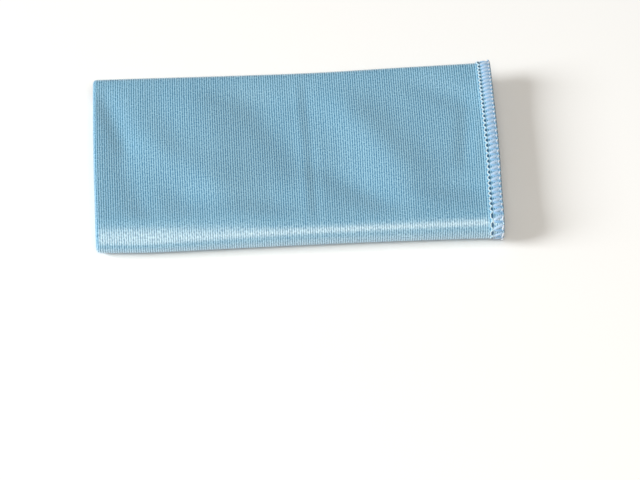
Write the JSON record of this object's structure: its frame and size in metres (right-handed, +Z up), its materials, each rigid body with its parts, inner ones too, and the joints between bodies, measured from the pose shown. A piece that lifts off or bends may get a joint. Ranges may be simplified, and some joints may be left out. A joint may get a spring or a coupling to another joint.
{
  "type": "folded microfibre cloth",
  "caption": "Ribbed microfibre glass cloth with an overlocked edge, folded in half and then in three, lying flat with its wide fold to the front.",
  "frame": {"origin": "under the middle of the folded cloth, on the surface it lies on", "axes": "+X along the cloth from its end fold to its hemmed end, -Y towards the wide front fold, +Z up"},
  "size_m": [0.199, 0.1078, 0.0165],
  "materials": {
    "cloth": "fine ribbed microfibre knit with a soft silky sheen, sky blue, overlocked in the same blue"
  },
  "bodies": {
    "root": {"cloth": "cloth"}
  },
  "joints": []
}
